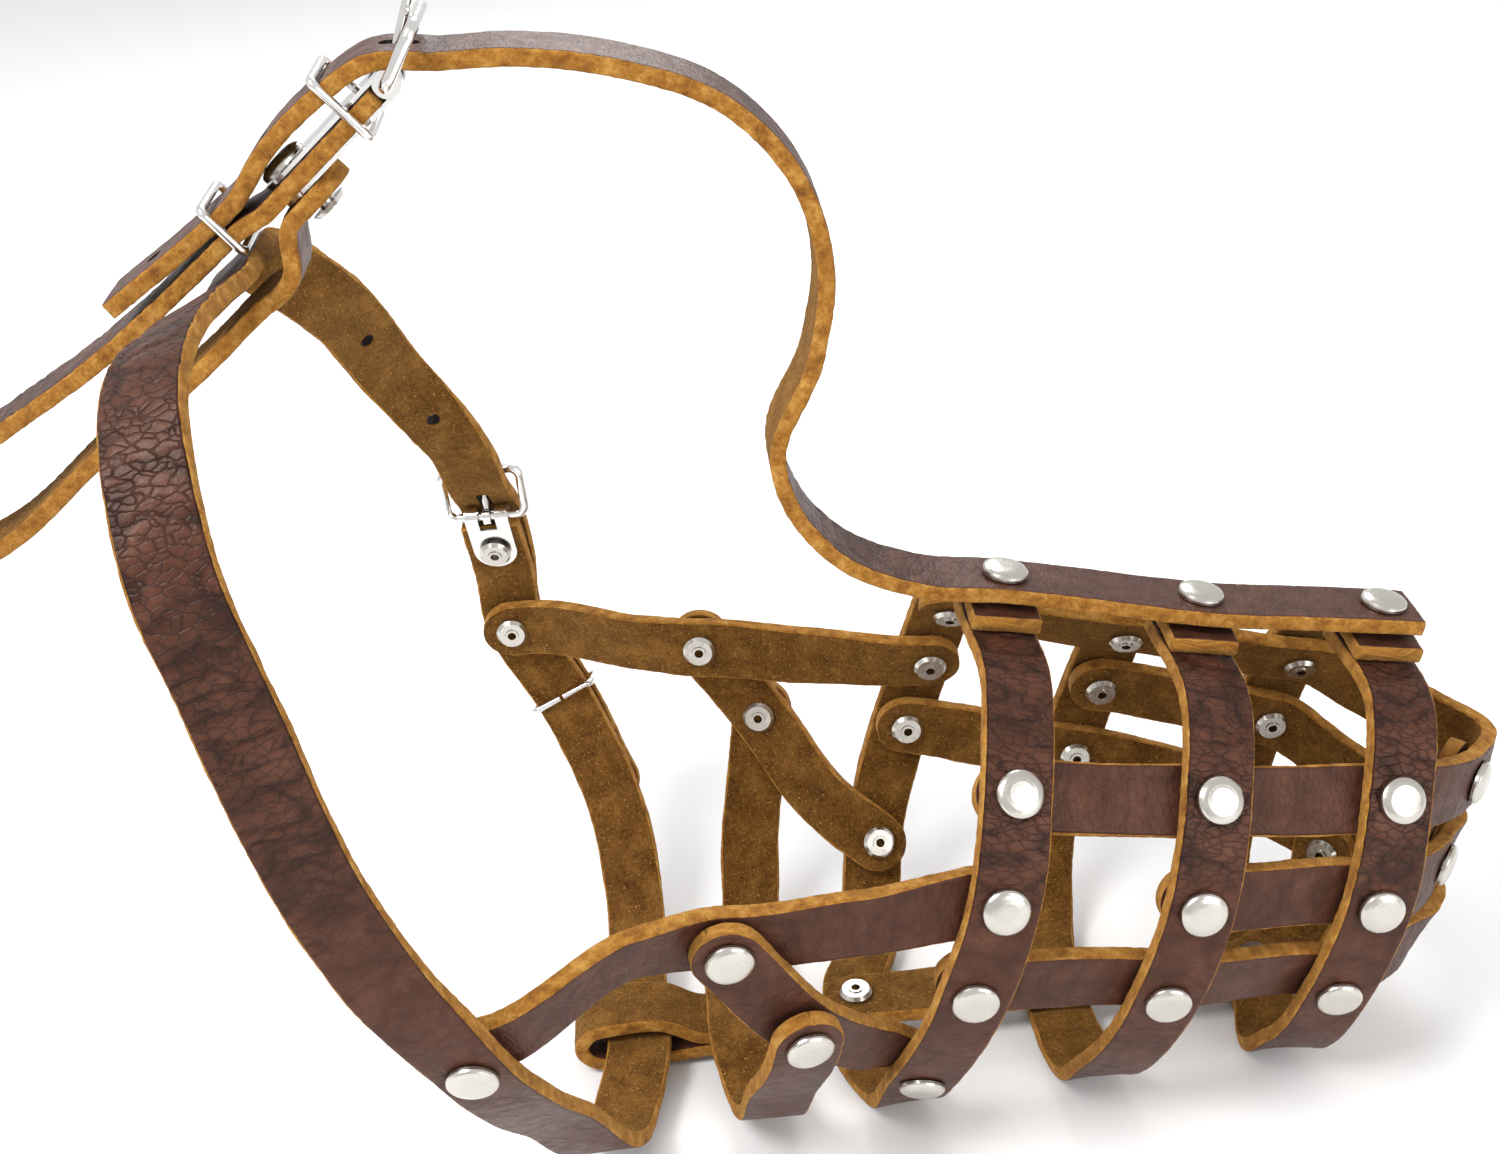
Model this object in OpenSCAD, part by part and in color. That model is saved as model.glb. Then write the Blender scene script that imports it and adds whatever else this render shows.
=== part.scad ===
// Leather basket muzzle for a large dog: riveted strap basket, collar and head strap.
// The nose points along +X, +Z is up, and the basket stands on its lowest rivet caps at z = 0.

/* [Leather] */
// Width of every strap
strap_w = 15; // [14:0.5:15]
// Thickness of the leather
strap_t = 3.5; // [3.2:0.1:3.5]
// Air between two crossing straps, measured at the rivet
lap = 1.45; // [1.4:0.05:1.5]

/* [Rivets] */
// Diameter of a domed rivet cap
cap_d = 10; // [9:0.5:10]
// Height of the dome over the leather
cap_h = 2; // [1.6:0.1:2]
// Diameter of the flared washer on the inside
washer_d = 8; // [7.6:0.2:8]
// Diameter of the tubular shank
shank_d = 3.4; // [3:0.2:3.4]

/* [Buckles] */
// Diameter of the buckle wire
wire_d = 2.4; // [2.2:0.1:2.4]
// Distance from the heel bar to the free bar
frame_l = 12.5; // [12:0.5:12.5]
// Distance between the two side wires
frame_w = 20; // [19:0.5:20]
// Diameter of the tongue wire
tongue_d = 1.8; // [1.6:0.1:1.8]
// Diameter of the keeper wire
keeper_d = 1.8; // [1.6:0.1:1.8]

/* [Hidden] */

grain = [0.28, 0.17, 0.12];
nickel = [0.80, 0.79, 0.76];

centre = [60.55, -0.98, 0];  // puts the middle of the whole muzzle over the origin
steps = 5;              // rings between two control points of a route
fit = 0.15;             // air between metal and leather
hinge_air = 0.05;       // radial clearance on a heel bar
pitch = strap_t + lap;  // from one layer to the next
shank_r = shank_d / 2;
wire_r = wire_d / 2;
tongue_r = tongue_d / 2;
keeper_r = keeper_d / 2;
sheet_t = 0.8;          // sheet metal of the buckle plates
frame_tilt = 18;        // how far a buckle frame stands off its strap

// ---- Routes: a route is a list of [point, across], where across runs over the strap's width, ----
// ---- or of [point, undef, outward], where the strap lies flat against what it is riveted to  ----

function unit(v) = v / norm(v);
function flip(v) = [v.x, -v.y, v.z];
function backwards(r) = [for (i = [len(r) - 1:-1:0]) r[i]];

function chord(r, i) =
  i == 0 ? unit(r[1][0] - r[0][0]) :
  i == len(r) - 1 ? unit(r[i][0] - r[i - 1][0]) :
  let (a = r[i][0] - r[i - 1][0], b = r[i + 1][0] - r[i][0])
  unit(a * norm(b) / norm(a) + b * norm(a) / norm(b));
function tangent(r, i) =
  let (t = chord(r, i), n = r[i][2]) n == undef ? t : unit(t - n * (t * n));
function over(r, i) = r[i][2] == undef ? r[i][1] : cross(r[i][2], tangent(r, i));

// A frame is [point, along, across, outward]
function frame(p, along, over) =
  let (t = unit(along), b = unit(over - t * (over * t))) [p, t, b, cross(t, b)];
function frame_at(r, i) = frame(r[i][0], tangent(r, i), over(r, i));
function lifted(f, n) = [f[0] + f[3] * n, f[1], f[2], f[3]];
function local(f, p) = f[0] + f[1] * p.x + f[2] * p.y + f[3] * p.z;
// A control point that lies flat in frame f
function flat(f, p) = [local(f, p), undef, f[3]];
// The control point n layers inside control point i of route r
function inside(r, i, n = 1) = flat(frame_at(r, i), [0, 0, -n * pitch]);
// The same point on the other side of the muzzle, and a whole route on the other side
function opposite(s) = s[2] == undef ? [flip(s[0]), -flip(s[1])] : [flip(s[0]), undef, flip(s[2])];
function opposite_route(r) = [for (s = r) opposite(s)];
// The rest of a strap that crosses the middle, from there to its far end
function far_half(r) = [for (s = backwards(r)) s[2] == undef ? [flip(s[0]), flip(s[1])] : opposite(s)];

function ring_frame(r, i, s) =
  let (
    p = r[i][0], q = r[i + 1][0], d = norm(q - p),
    m = tangent(r, i) * d, n = tangent(r, i + 1) * d,
    s2 = s * s, s3 = s2 * s,
    c = p * (2 * s3 - 3 * s2 + 1) + m * (s3 - 2 * s2 + s) + q * (3 * s2 - 2 * s3) + n * (s3 - s2),
    v = p * (6 * s2 - 6 * s) + m * (3 * s2 - 4 * s + 1) + q * (6 * s - 6 * s2) + n * (3 * s2 - 2 * s),
    e = 3 * s2 - 2 * s3
  )
  frame(c, unit(v), over(r, i) * (1 - e) + over(r, i + 1) * e);

function ring(f, half_w) =
  [for (c = [[-1, -1], [1, -1], [1, 1], [-1, 1]])
    f[0] + f[2] * (c[0] * half_w) + f[3] * (c[1] * strap_t / 2)];

// Angles of the rings that round off a strap end
round_steps = [62, 42, 24, 9];
function round_end(f, sign) =
  [for (a = round_steps)
    ring([f[0] + f[1] * (sign * strap_w / 2 * cos(a)), f[1], f[2], f[3]], strap_w / 2 * sin(a))];

// All the cross sections of a strap; first and last say which ends are rounded
function sections(r, first, last) =
  let (n = len(r), a = frame_at(r, 0), b = frame_at(r, n - 1))
  concat(
    first ? backwards(round_end(a, -1)) : [],
    [for (i = [0:n - 2]) for (k = [0:steps - 1]) ring(ring_frame(r, i, k / steps), strap_w / 2)],
    [ring(b, strap_w / 2)],
    last ? round_end(b, 1) : []
  );

module strap(r, first = true, last = true) {
  s = sections(r, first, last);
  n = len(s);
  points = [for (q = s) for (v = q) v + centre];
  sides = [for (i = [0:n - 2]) for (j = [0:3])
    let (a = i * 4 + j, b = i * 4 + (j + 1) % 4) each [[a, a + 4, b + 4], [a, b + 4, b]]];
  ends = [[0, 1, 2], [0, 2, 3],
    [n * 4 - 1, n * 4 - 2, n * 4 - 3], [n * 4 - 1, n * 4 - 3, n * 4 - 4]];
  color(grain) polyhedron(points, concat(sides, ends), convexity = 10);
}

module place(f)
  multmatrix([
    [f[1].x, f[2].x, f[3].x, f[0].x + centre.x],
    [f[1].y, f[2].y, f[3].y, f[0].y + centre.y],
    [f[1].z, f[2].z, f[3].z, f[0].z],
    [0, 0, 0, 1]
  ]) children();

// ---- Basket ----

hoop_across = [0.97, 0, -0.24];
low_across = [0.98, 0, 0.2];
flat_across = [1, 0, 0];

// The head buckle's heel bar: along runs down the head loop
head_down = frame([-113.5, 0, 239.5], [-0.766, 0, -0.643], [0, -1, 0]);
// The top of the collar between the two runs of the head loop
crown = frame([-148.5, 0, 204.2], [-0.79, 0, -0.61], [0, -1, 0]);
over_y = [0, -1, 0];
nose_route = [
  for (p = [[91, 0, 105], [84, 0, 106.2], [43, 0, 112.4], [0, 0, 122.3], [-18, 0, 125.5], [-36, 0, 135],
            [-47, 0, 158], [-38.5, 0, 179], [-35.5, 0, 197], [-39.5, 0, 215], [-52.5, 0, 231],
            [-72, 0, 239.5], [-92, 0, 243], [-103.5, 0, 243.2],
            local(head_down, [0, 0, 5.4]), local(head_down, [9, 0, 7.2]), local(head_down, [26, 0, 7.4]),
            local(crown, [-13, 0, 10.4]), local(crown, [-3, 0, 10.6]), local(crown, [20, 0, 12.2])])
    [p, over_y]
];
NOSE = [3, 2, 1];        // rivets over the rear, middle and front hoop
NOSE_TONGUE = 13;        // the tongue passes just after this point

// side: points of the far half from the shoulder to the lower corner
function hoop(k, side, bottom_x) =
  let (top = frame_at(nose_route, NOSE[k]))
  concat(
    [[top[0] - top[3] * (2 * pitch) + [0, 9, -0.5], undef, top[3]], inside(nose_route, NOSE[k], 2)],
    [for (p = side) [flip(p) - [0, 0, p.z > 90 ? 2 : 0], p.z > 8 ? hoop_across : low_across]],
    [[[bottom_x, -9, 4.05], undef, [0, 0, -1]], [[bottom_x, 0, 4.05], undef, [0, 0, -1]],
     [[bottom_x, 9, 4.05], undef, [0, 0, -1]]],
    [for (p = backwards(side)) [p, p.z > 8 ? hoop_across : low_across]],
    [inside(nose_route, NOSE[k]), [top[0] - top[3] * pitch + [0, -9, -0.8], undef, top[3]]]
  );

// Control points of every hoop, by index
NEAR = [3, 4, 5, 6];     // upper, middle, lower and lowest rivet on the near side
BOTTOM = 9;
FAR = [15, 14, 13, 12];  // the same on the far side

rear_route = hoop(0,
  [[-1.5, 22, 112.5], [-5, 41.7, 98], [-9.5, 52, 76], [-16, 53.6, 55], [-26, 43.6, 24], [-30, 26, 4.5]], -36);
middle_route = hoop(1,
  [[41, 22, 103], [37, 39, 88], [32.5, 47.5, 67], [26, 48.3, 45], [18, 39, 19], [15, 23, 4.5]], 13);
front_route = hoop(2,
  [[82.5, 18, 96], [78, 33.2, 79.5], [73.5, 40, 57], [67, 39, 33.5], [62, 31, 13], [60, 20, 4.5]], 62);

// A wrap passes inside the hoops and round the nose
function wrap(hoops, row, nose, apex) =
  concat(
    [for (h = hoops) inside(h, NEAR[row])],
    [for (p = nose) [flip(p[0]), flip(p[1])]],
    [apex],
    backwards(nose),
    [for (h = backwards(hoops)) inside(h, FAR[row])]
  );

upper_route = wrap([rear_route, middle_route, front_route], 0,
  [[[92, 22, 72], [0.1, -0.1, 1]], [[103.5, 12, 67.5], [0.1, 0, 1]]],
  [[111, 0, 66], [0.12, 0, 1]]);
mid_wrap_route = wrap([middle_route, front_route], 1,
  [[[88, 24, 49], [0.3, -0.3, 0.9]], [[98.5, 12, 45], [0.4, -0.3, 0.9]]],
  [[105, 0, 44], [0.4, 0, 0.9]]);
lower_route = wrap([rear_route, middle_route, front_route], 2,
  [[[87, 20.5, 27.5], [0.5, -0.3, 0.85]], [[97, 10, 25], [0.6, -0.2, 0.8]]],
  [[101, 0, 24.5], [0.6, 0, 0.8]]);
UPPER_BAR = 4;      // where the front bar crosses the upper wrap
MIDDLE_BAR = 3;     // where it crosses the middle wrap
LOWER_CHIN = 7;     // where the chin strap ends on the lower wrap
bar_lap = 1.2;      // more air, because the wraps curve there

bar_route = [
  flat(frame_at(upper_route, UPPER_BAR), [0, 0, -strap_t - bar_lap]),
  flat(frame_at(mid_wrap_route, MIDDLE_BAR), [0, 0, -strap_t - bar_lap])
];

chin_end = frame_at(lower_route, LOWER_CHIN);
chin_route = [
  for (h = [rear_route, middle_route, front_route]) inside(h, BOTTOM),
  [[74, 6, 12.5], [0.3, -0.95, -0.2]],
  flat(chin_end, [0, 0, -strap_t - bar_lap])
];

// ---- Cheek and throat straps ----

diagonal_across = [0.75, 0, 0.6];
diagonal_route = [
  [[-66, -61.6, 78.3], diagonal_across],
  [[-52.5, -58, 56.5], diagonal_across],
  [[-38, -45.5, 37], diagonal_across],
  inside(rear_route, NEAR[3])
];

near_across = [-0.93, -0.2, -0.27];
side_across = [-0.96, 0, -0.27];
far_across = [-0.8, -0.5, -0.3];
bottom_across = [-1, 0, 0];
crown_across = [-0.8, 0, -0.6];

// The collar buckle's heel bar: along runs down the far side
down = frame([-117, 78.5, 110], [0.08, 0.28, -0.95], [-0.97, 0.1, -0.1]);

collar_route = [
  flat(down, [3, 0, 0]),
  flat(down, [10, 0, 0]),
  flat(down, [19, 0, 0]),
  [[-115, 84.5, 76], undef, [0, 1, 0]],
  [[-104, 80, 54], side_across],
  [[-93, 64, 30], side_across],
  [[-89, 38, 12], bottom_across],
  [[-89.5, 12, 7.5], bottom_across],
  [[-89.5, -10, 7.5], bottom_across],
  [[-94, -32, 6.5], bottom_across],
  [[-104, -62, 40], side_across],
  [[-115, -84.5, 76], undef, [0, -0.96, -0.28]],
  [[-130, -88, 109], near_across],
  [[-142, -86, 154], near_across],
  [[-150, -78, 189], near_across],
  [[-153, -58, 206], side_across],
  [[-150.5, -30, 208], [-0.9, 0, -0.43]],
  flat(crown, [0, 9, 0]),
  flat(crown, [0, -9, 0]),
  [[-137.5, 30, 187], far_across],
  [[-130.5, 52, 161], far_across],
  [local(down, [-24, 0, -4]), down[2]],
  [local(down, [-12, 0, -0.5]), down[2]],
  [local(down, [0, 0, 5]), down[2]],
  [local(down, [9, 0, 7]), down[2]],
  [local(down, [19, 0, 7]), down[2]],
  [[-115.5, 91.3, 76], undef, [0, 1, 0]],
  [[-105, 88, 54], side_across],
  [[-93.5, 73, 30], side_across]
];
COLLAR_PLATE = 1;
COLLAR_CHEEK_FAR = 3;
COLLAR_CHEEK_NEAR = 11;
COLLAR_KEEPER = 4;
COLLAR_TONGUE = 22;      // the tongue passes just after this point

cheek_route = [
  inside(collar_route, COLLAR_CHEEK_NEAR),
  [[-84, -64, 83], [0, -0.4, 0.9]],
  inside(diagonal_route, 0),
  [[-40, -53, 76], [0, 0, 1]],
  inside(rear_route, NEAR[1])
];
cheek_far_route = [
  inside(collar_route, COLLAR_CHEEK_FAR),
  [[-80, 61, 79], [0, 0, -1]],
  opposite(cheek_route[2]),
  [[-40, 53, 76], [0, 0, -1]],
  opposite(cheek_route[4])
];
diagonal_far_route = opposite_route(diagonal_route);

// The throat strap lies over the ends of the throat loop
loop_gap = 0.3;
throat_x = -64.8;
throat_z = [4.05, 4.05 + strap_t + loop_gap, 4.05 + 2 * (strap_t + loop_gap)];
throat_half = [
  flat(frame_at(diagonal_route, 1), [0, 0, pitch]),
  [[-57, -49, 30], flat_across],
  [[-61, -27, 6.5], flat_across],
  [[throat_x, -9, throat_z[2]], undef, [0, 0, -1]]
];
throat_route = concat(
  throat_half,
  [[[throat_x, 0, throat_z[2]], undef, [0, 0, -1]]],
  far_half(throat_half)
);
THROAT_BOTTOM = 4;

// The throat loop: two layers under the throat strap, open round the bottom of the collar
loop_route = [
  for (p = [[throat_x, 0, throat_z[0]], [-72, 0, throat_z[0]], [-82, 0, 3], [-93, 0, 2.4], [-101, 0, 4],
            [-103, 0, 7.6], [-101, 0, 11.2], [-93, 0, 13], [-83, 0, 12.6],
            [-74, 0, throat_z[1]], [throat_x, 0, throat_z[1]]])
    [p, over_y]
];

// ---- Head loop ----

head_rivet = 26;
under_leaf = -strap_t - 2 * fit - sheet_t;
head_loop_route = concat(
  [for (x = [3.2, 12, head_rivet, 32.5]) flat(head_down, [x, 0, 0])],
  [for (p = [local(crown, [-9, 0, 6.3]), local(crown, [0, 0, 6.3]), local(crown, [10, 0, 6.3]),
             [-175, 0, 192.5], [-200, 0, 177.7], [-226, 0, 162], [-233, 0, 154], [-224, 0, 147.5],
             [-206, 0, 153], [-180, 0, 172], local(crown, [13, 0, -7.5]),
             local(crown, [0, 0, -7]), local(crown, [-9, 0, -7])])
    [p, over_y]],
  [for (x = [5, 0]) [local(head_down, [head_rivet + x, 0, under_leaf]), undef, -head_down[3]]]
);
HEAD_RIVET = 2;

// ---- Rivets and the holes they go through ----

cap_r = cap_d / 2;
washer_r = washer_d / 2;
dome_flat = 1.6;        // radius of the flat spot in the middle of the dome
rim = 0.6;              // height of the cap's straight rim
washer_t = 0.9;
cap_gap = 0.3;
washer_gap = 1.15;       // the straps curve away from flat under a washer
shank_out = 0.3;        // how far the flared shank stands past the washer

// f is the frame of the outermost strap; depth is the stack of straps under its outer face
module rivet(f, depth) {
  low = -depth - washer_gap - washer_t - shank_out;
  color(nickel) place(lifted(f, strap_t / 2)) {
    rotate_extrude($fn = 48)
      polygon(concat(
        [[0, cap_gap], [cap_r, cap_gap]],
        [for (a = [0:15:75]) [dome_flat + (cap_r - dome_flat) * cos(a), cap_gap + rim + (cap_h - rim) * sin(a)]],
        [[dome_flat, cap_gap + cap_h], [0, cap_gap + cap_h]]
      ));
    difference() {
      translate([0, 0, low]) cylinder(r = shank_r, h = cap_gap - low + 0.2, $fn = 32);
      translate([0, 0, low - 1]) cylinder(r = shank_r - 0.6, h = 4, $fn = 32);
    }
  }
}

module washer(f, depth) {
  top = -depth - washer_gap;
  color(nickel) place(lifted(f, strap_t / 2))
    difference() {
      translate([0, 0, top - washer_t])
        cylinder(r1 = washer_r - 0.7, r2 = washer_r, h = washer_t, $fn = 48);
      translate([0, 0, top - washer_t - 1]) cylinder(r = shank_r + 0.06, h = washer_t + 2, $fn = 32);
    }
}

// A round hole through the stack of straps at frame f
module bore(f, depth = 20, air = 0.1)
  place(f) translate([0, 0, -depth]) cylinder(r = shank_r + air, h = depth + 6, $fn = 32);

// A punched hole in a single strap
module punch(f, r = 1.6) place(f) translate([0, 0, -strap_t]) cylinder(r = r, h = 2 * strap_t, $fn = 32);

// A long hole for a buckle tongue
module slot(f) place(f) translate([0, 0, -strap_t]) {
  for (x = [-2.2, 2.2]) translate([x, 0, 0]) cylinder(r = 1.6, h = 2 * strap_t, $fn = 32);
  translate([-2.2, -1.6, 0]) cube([4.4, 3.2, 2 * strap_t]);
}

function stack(n) = n * strap_t + (n - 1) * lap;
function bar_stack() = 2 * strap_t + bar_lap;

nose_frames = [for (i = NOSE) frame_at(nose_route, i)];
function hoop_frames(h, rows) = [for (k = rows) each [frame_at(h, NEAR[k]), frame_at(h, FAR[k])]];
wrap_frames = concat(
  hoop_frames(rear_route, [0, 2]),
  hoop_frames(middle_route, [0, 1, 2]),
  hoop_frames(front_route, [0, 1, 2])
);
cheek_frames = concat(
  hoop_frames(rear_route, [1, 3]),
  [frame_at(diagonal_route, 0), frame_at(diagonal_far_route, 0),
   frame_at(throat_route, 0), frame_at(throat_route, len(throat_route) - 1)]
);
chin_frames = [for (h = [rear_route, middle_route, front_route]) frame_at(h, BOTTOM)];
bar_frames = [
  frame_at(upper_route, UPPER_BAR),
  frame_at(mid_wrap_route, MIDDLE_BAR),
  frame_at(lower_route, LOWER_CHIN)
];
throat_frame = frame([throat_x, 0, throat_z[0]], [-1, 0, 0], [0, 1, 0]);
collar_frames = [frame_at(collar_route, COLLAR_CHEEK_NEAR), frame_at(collar_route, COLLAR_CHEEK_FAR)];
collar_plate_frame = frame_at(collar_route, COLLAR_PLATE);
head_plate_frame = frame_at(head_loop_route, HEAD_RIVET);

module rivets(frames, depth) for (f = frames) rivet(f, depth);
module washers(frames, depth) for (f = frames) washer(f, depth);
module bores(frames, air = 0.1) for (f = frames) bore(f, air = air);

// ---- Straps ----

module rear_hoop() difference() {
  strap(rear_route, first = false, last = false);
  bores(concat([nose_frames[0], chin_frames[0]], hoop_frames(rear_route, [0, 1, 2, 3])));
}
module middle_hoop() difference() {
  strap(middle_route, first = false, last = false);
  bores(concat([nose_frames[1], chin_frames[1]], hoop_frames(middle_route, [0, 1, 2])));
}
module front_hoop() difference() {
  strap(front_route, first = false, last = false);
  bores(concat([nose_frames[2], chin_frames[2]], hoop_frames(front_route, [0, 1, 2])));
}

module nose_strap() difference() {
  strap(nose_route, first = false, last = false);
  bores(nose_frames);
  slot(ring_frame(nose_route, NOSE_TONGUE, 0.55));
  punch(ring_frame(nose_route, NOSE_TONGUE + 2, 0.9));
  punch(ring_frame(nose_route, NOSE_TONGUE + 5, 0.5));
}

module upper_wrap() difference() {
  strap(upper_route);
  bores(concat(hoop_frames(rear_route, [0]), hoop_frames(middle_route, [0]),
    hoop_frames(front_route, [0]), [bar_frames[0]]));
}
module middle_wrap() difference() {
  strap(mid_wrap_route);
  bores(concat(hoop_frames(middle_route, [1]), hoop_frames(front_route, [1]), [bar_frames[1]]));
}
module lower_wrap() difference() {
  strap(lower_route);
  bores(concat(hoop_frames(rear_route, [2]), hoop_frames(middle_route, [2]),
    hoop_frames(front_route, [2]), [bar_frames[2]]));
}
module front_bar() difference() {
  strap(bar_route);
  bores([bar_frames[0], bar_frames[1]]);
}
module chin_strap() difference() {
  strap(chin_route);
  bores(concat(chin_frames, [bar_frames[2]]));
}

module cheek_strap(route, side) difference() {
  strap(route);
  bores([cheek_frames[side], cheek_frames[4 + side]]);
  bores([collar_frames[side]], air = hinge_air);
}
module cheek_strap_near() cheek_strap(cheek_route, 0);
module cheek_strap_far() cheek_strap(cheek_far_route, 1);

module diagonal_strap(route, side) difference() {
  strap(route);
  bores([cheek_frames[2 + side], cheek_frames[4 + side], cheek_frames[6 + side]]);
}
module diagonal_strap_near() diagonal_strap(diagonal_route, 0);
module diagonal_strap_far() diagonal_strap(diagonal_far_route, 1);

module throat_strap() difference() {
  strap(throat_route);
  bores([cheek_frames[6], cheek_frames[7]]);
  bore(throat_frame);
}
module throat_loop() difference() {
  strap(loop_route);
  bore(throat_frame);
}

module collar_strap() difference() {
  strap(collar_route, first = false);
  bore(collar_frames[0], depth = 6);
  bore(collar_frames[1], depth = 6);
  bore(collar_plate_frame, depth = 6);
  slot(ring_frame(collar_route, COLLAR_TONGUE, 0.58));
  for (i = [18:20]) punch(ring_frame(collar_route, i, 0.5));
}

module head_loop_strap() difference() {
  strap(head_loop_route, first = false);
  bore(head_plate_frame, depth = 10);
}

// ---- Rivet groups ----

module nose_rivets() rivets(nose_frames, stack(3));
module nose_washers() washers(nose_frames, stack(3));
module wrap_rivets() rivets(wrap_frames, stack(2));
module wrap_washers() washers(wrap_frames, stack(2));
module cheek_rivets() rivets(cheek_frames, stack(2));
module cheek_washers() washers(cheek_frames, stack(2));
module chin_rivets() rivets(chin_frames, stack(2));
module chin_washers() washers(chin_frames, stack(2));
module bar_rivets() rivets(bar_frames, bar_stack());
module bar_washers() washers(bar_frames, bar_stack());
throat_stack = 3 * strap_t + 2 * loop_gap;
module throat_rivet() rivet(throat_frame, throat_stack);
module throat_washer() washer(throat_frame, throat_stack);
module collar_rivets() rivets(collar_frames, stack(2));
module collar_washers() washers(collar_frames, stack(2));
leaf = sheet_t + fit;
module plate_rivet_collar() rivet(lifted(collar_plate_frame, leaf), strap_t + 2 * leaf);
module plate_washer_collar() washer(lifted(collar_plate_frame, leaf), strap_t + 2 * leaf);
head_stack = 2 * strap_t + 2 * leaf + fit;
module plate_rivet_head() rivet(lifted(head_plate_frame, leaf), head_stack);
module plate_washer_head() washer(lifted(head_plate_frame, leaf), head_stack);

// ---- Buckles, in the frame of the heel bar: along runs from the heel bar down the strap ----

curl_r = strap_t / 2 + fit + sheet_t;
plate_w = 11;

// A plate folded round the heel bar, with the strap's end between its two leaves
module buckle_plate(f, rivet_x) color(nickel) place(f) difference() {
  union() {
    rotate([90, 0, 0]) cylinder(r = curl_r, h = plate_w, center = true, $fn = 48);
    for (z = [-curl_r, curl_r - sheet_t]) translate([0, 0, z]) {
      translate([0, -plate_w / 2, 0]) cube([rivet_x, plate_w, sheet_t]);
      translate([rivet_x, 0, 0]) cylinder(r = plate_w / 2, h = sheet_t, $fn = 64);
    }
  }
  rotate([90, 0, 0]) cylinder(r = wire_r + hinge_air, h = plate_w + 2, center = true, $fn = 48);
  translate([-5, -2.2, -6]) cube([7.6, 4.4, 12]);
  translate([rivet_x, 0, -6]) cylinder(r = shank_r + 0.1, h = 12, $fn = 32);
}

// A rectangle of wire with round corners; the bend is a quarter of a ring
module wire_rectangle(length, width, r, bend) {
  for (y = [-1, 1]) translate([bend, y * width / 2, 0])
    rotate([0, 90, 0]) cylinder(r = r, h = length - 2 * bend, $fn = 32);
  for (x = [0, length]) translate([x, 0, 0])
    rotate([90, 0, 0]) cylinder(r = r, h = width - 2 * bend, center = true, $fn = 32);
  for (c = [[bend, 1, 90], [bend, -1, 180], [length - bend, 1, 0], [length - bend, -1, 270]])
    translate([c[0], c[1] * (width / 2 - bend), 0]) rotate([0, 0, c[2]])
      rotate_extrude(angle = 90, $fn = 48) translate([bend, 0]) circle(r = r, $fn = 32);
}

// The frame of a buckle: the heel bar lies on the y axis, the free bar stands up behind it
module buckle_frame(f) color(nickel) place(f)
  rotate([0, 180 + frame_tilt, 0]) wire_rectangle(frame_l, frame_w, wire_r, 2.5);

tongue_over = 0.2;      // air between the tongue and the free bar
tongue_rise = frame_tilt + asin((wire_r + tongue_r + tongue_over) / frame_l);
eye_r = wire_r + hinge_air + 1;
module buckle_tongue(f) color(nickel) place(f) difference() {
  union() {
    rotate([90, 0, 0]) cylinder(r = eye_r, h = 2 * tongue_r, center = true, $fn = 48);
    rotate([0, -90 + tongue_rise, 0]) cylinder(r = tongue_r, h = frame_l + 2.4, $fn = 32);
  }
  rotate([90, 0, 0]) cylinder(r = wire_r + hinge_air, h = 5, center = true, $fn = 48);
}

// A wire keeper round two layers; low and high are the faces that it clears
module keeper(f, low, high, gap = 0) color(nickel) place(f) {
  air = 0.5;
  z0 = low - air - keeper_r;
  z1 = high + air + keeper_r;
  rotate([0, -90, 0]) translate([z0, 0, 0]) difference() {
    wire_rectangle(z1 - z0, strap_w + 2 * air + keeper_d, keeper_r, 1.6);
    if (gap > 0) translate([-2, -gap / 2, -2]) cube([4, gap, 4]);
  }
}

module collar_buckle_plate() buckle_plate(down, 10);
module collar_buckle_frame() buckle_frame(down);
module collar_buckle_tongue() buckle_tongue(down);
module head_buckle_plate() buckle_plate(head_down, head_rivet);
module head_buckle_frame() buckle_frame(head_down);
module head_buckle_tongue() buckle_tongue(head_down);

module collar_keeper() keeper(frame_at(collar_route, COLLAR_KEEPER), -strap_t / 2, 7.6 + strap_t / 2, gap = 1);
upper_keeper_frame = [local(head_down, [8.5, 0, 0]), head_down[1], head_down[2], head_down[3]];
module upper_keeper() keeper(upper_keeper_frame, -curl_r, 7 + strap_t / 2);
lower_keeper_frame = [local(crown, [-8, 0, 0]), crown[1], crown[2], crown[3]];
module lower_keeper() keeper(lower_keeper_frame, 6.3 - strap_t / 2, 10.6 + strap_t / 2);

rear_hoop();
middle_hoop();
front_hoop();
nose_strap();
upper_wrap();
middle_wrap();
lower_wrap();
front_bar();
chin_strap();
cheek_strap_near();
cheek_strap_far();
diagonal_strap_near();
diagonal_strap_far();
throat_strap();
throat_loop();
collar_strap();
head_loop_strap();
nose_rivets();
wrap_rivets();
cheek_rivets();
chin_rivets();
bar_rivets();
throat_rivet();
collar_rivets();
plate_rivet_collar();
plate_rivet_head();
nose_washers();
wrap_washers();
cheek_washers();
chin_washers();
bar_washers();
throat_washer();
collar_washers();
plate_washer_collar();
plate_washer_head();
collar_buckle_plate();
collar_buckle_frame();
collar_buckle_tongue();
collar_keeper();
head_buckle_plate();
head_buckle_frame();
head_buckle_tongue();
upper_keeper();
lower_keeper();
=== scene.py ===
"""Looks of the leather basket muzzle: dense leather straps, nickel hardware, studio and camera."""
import math

import bmesh
import bpy
import numpy as np
from mathutils import Matrix, Vector


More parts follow.
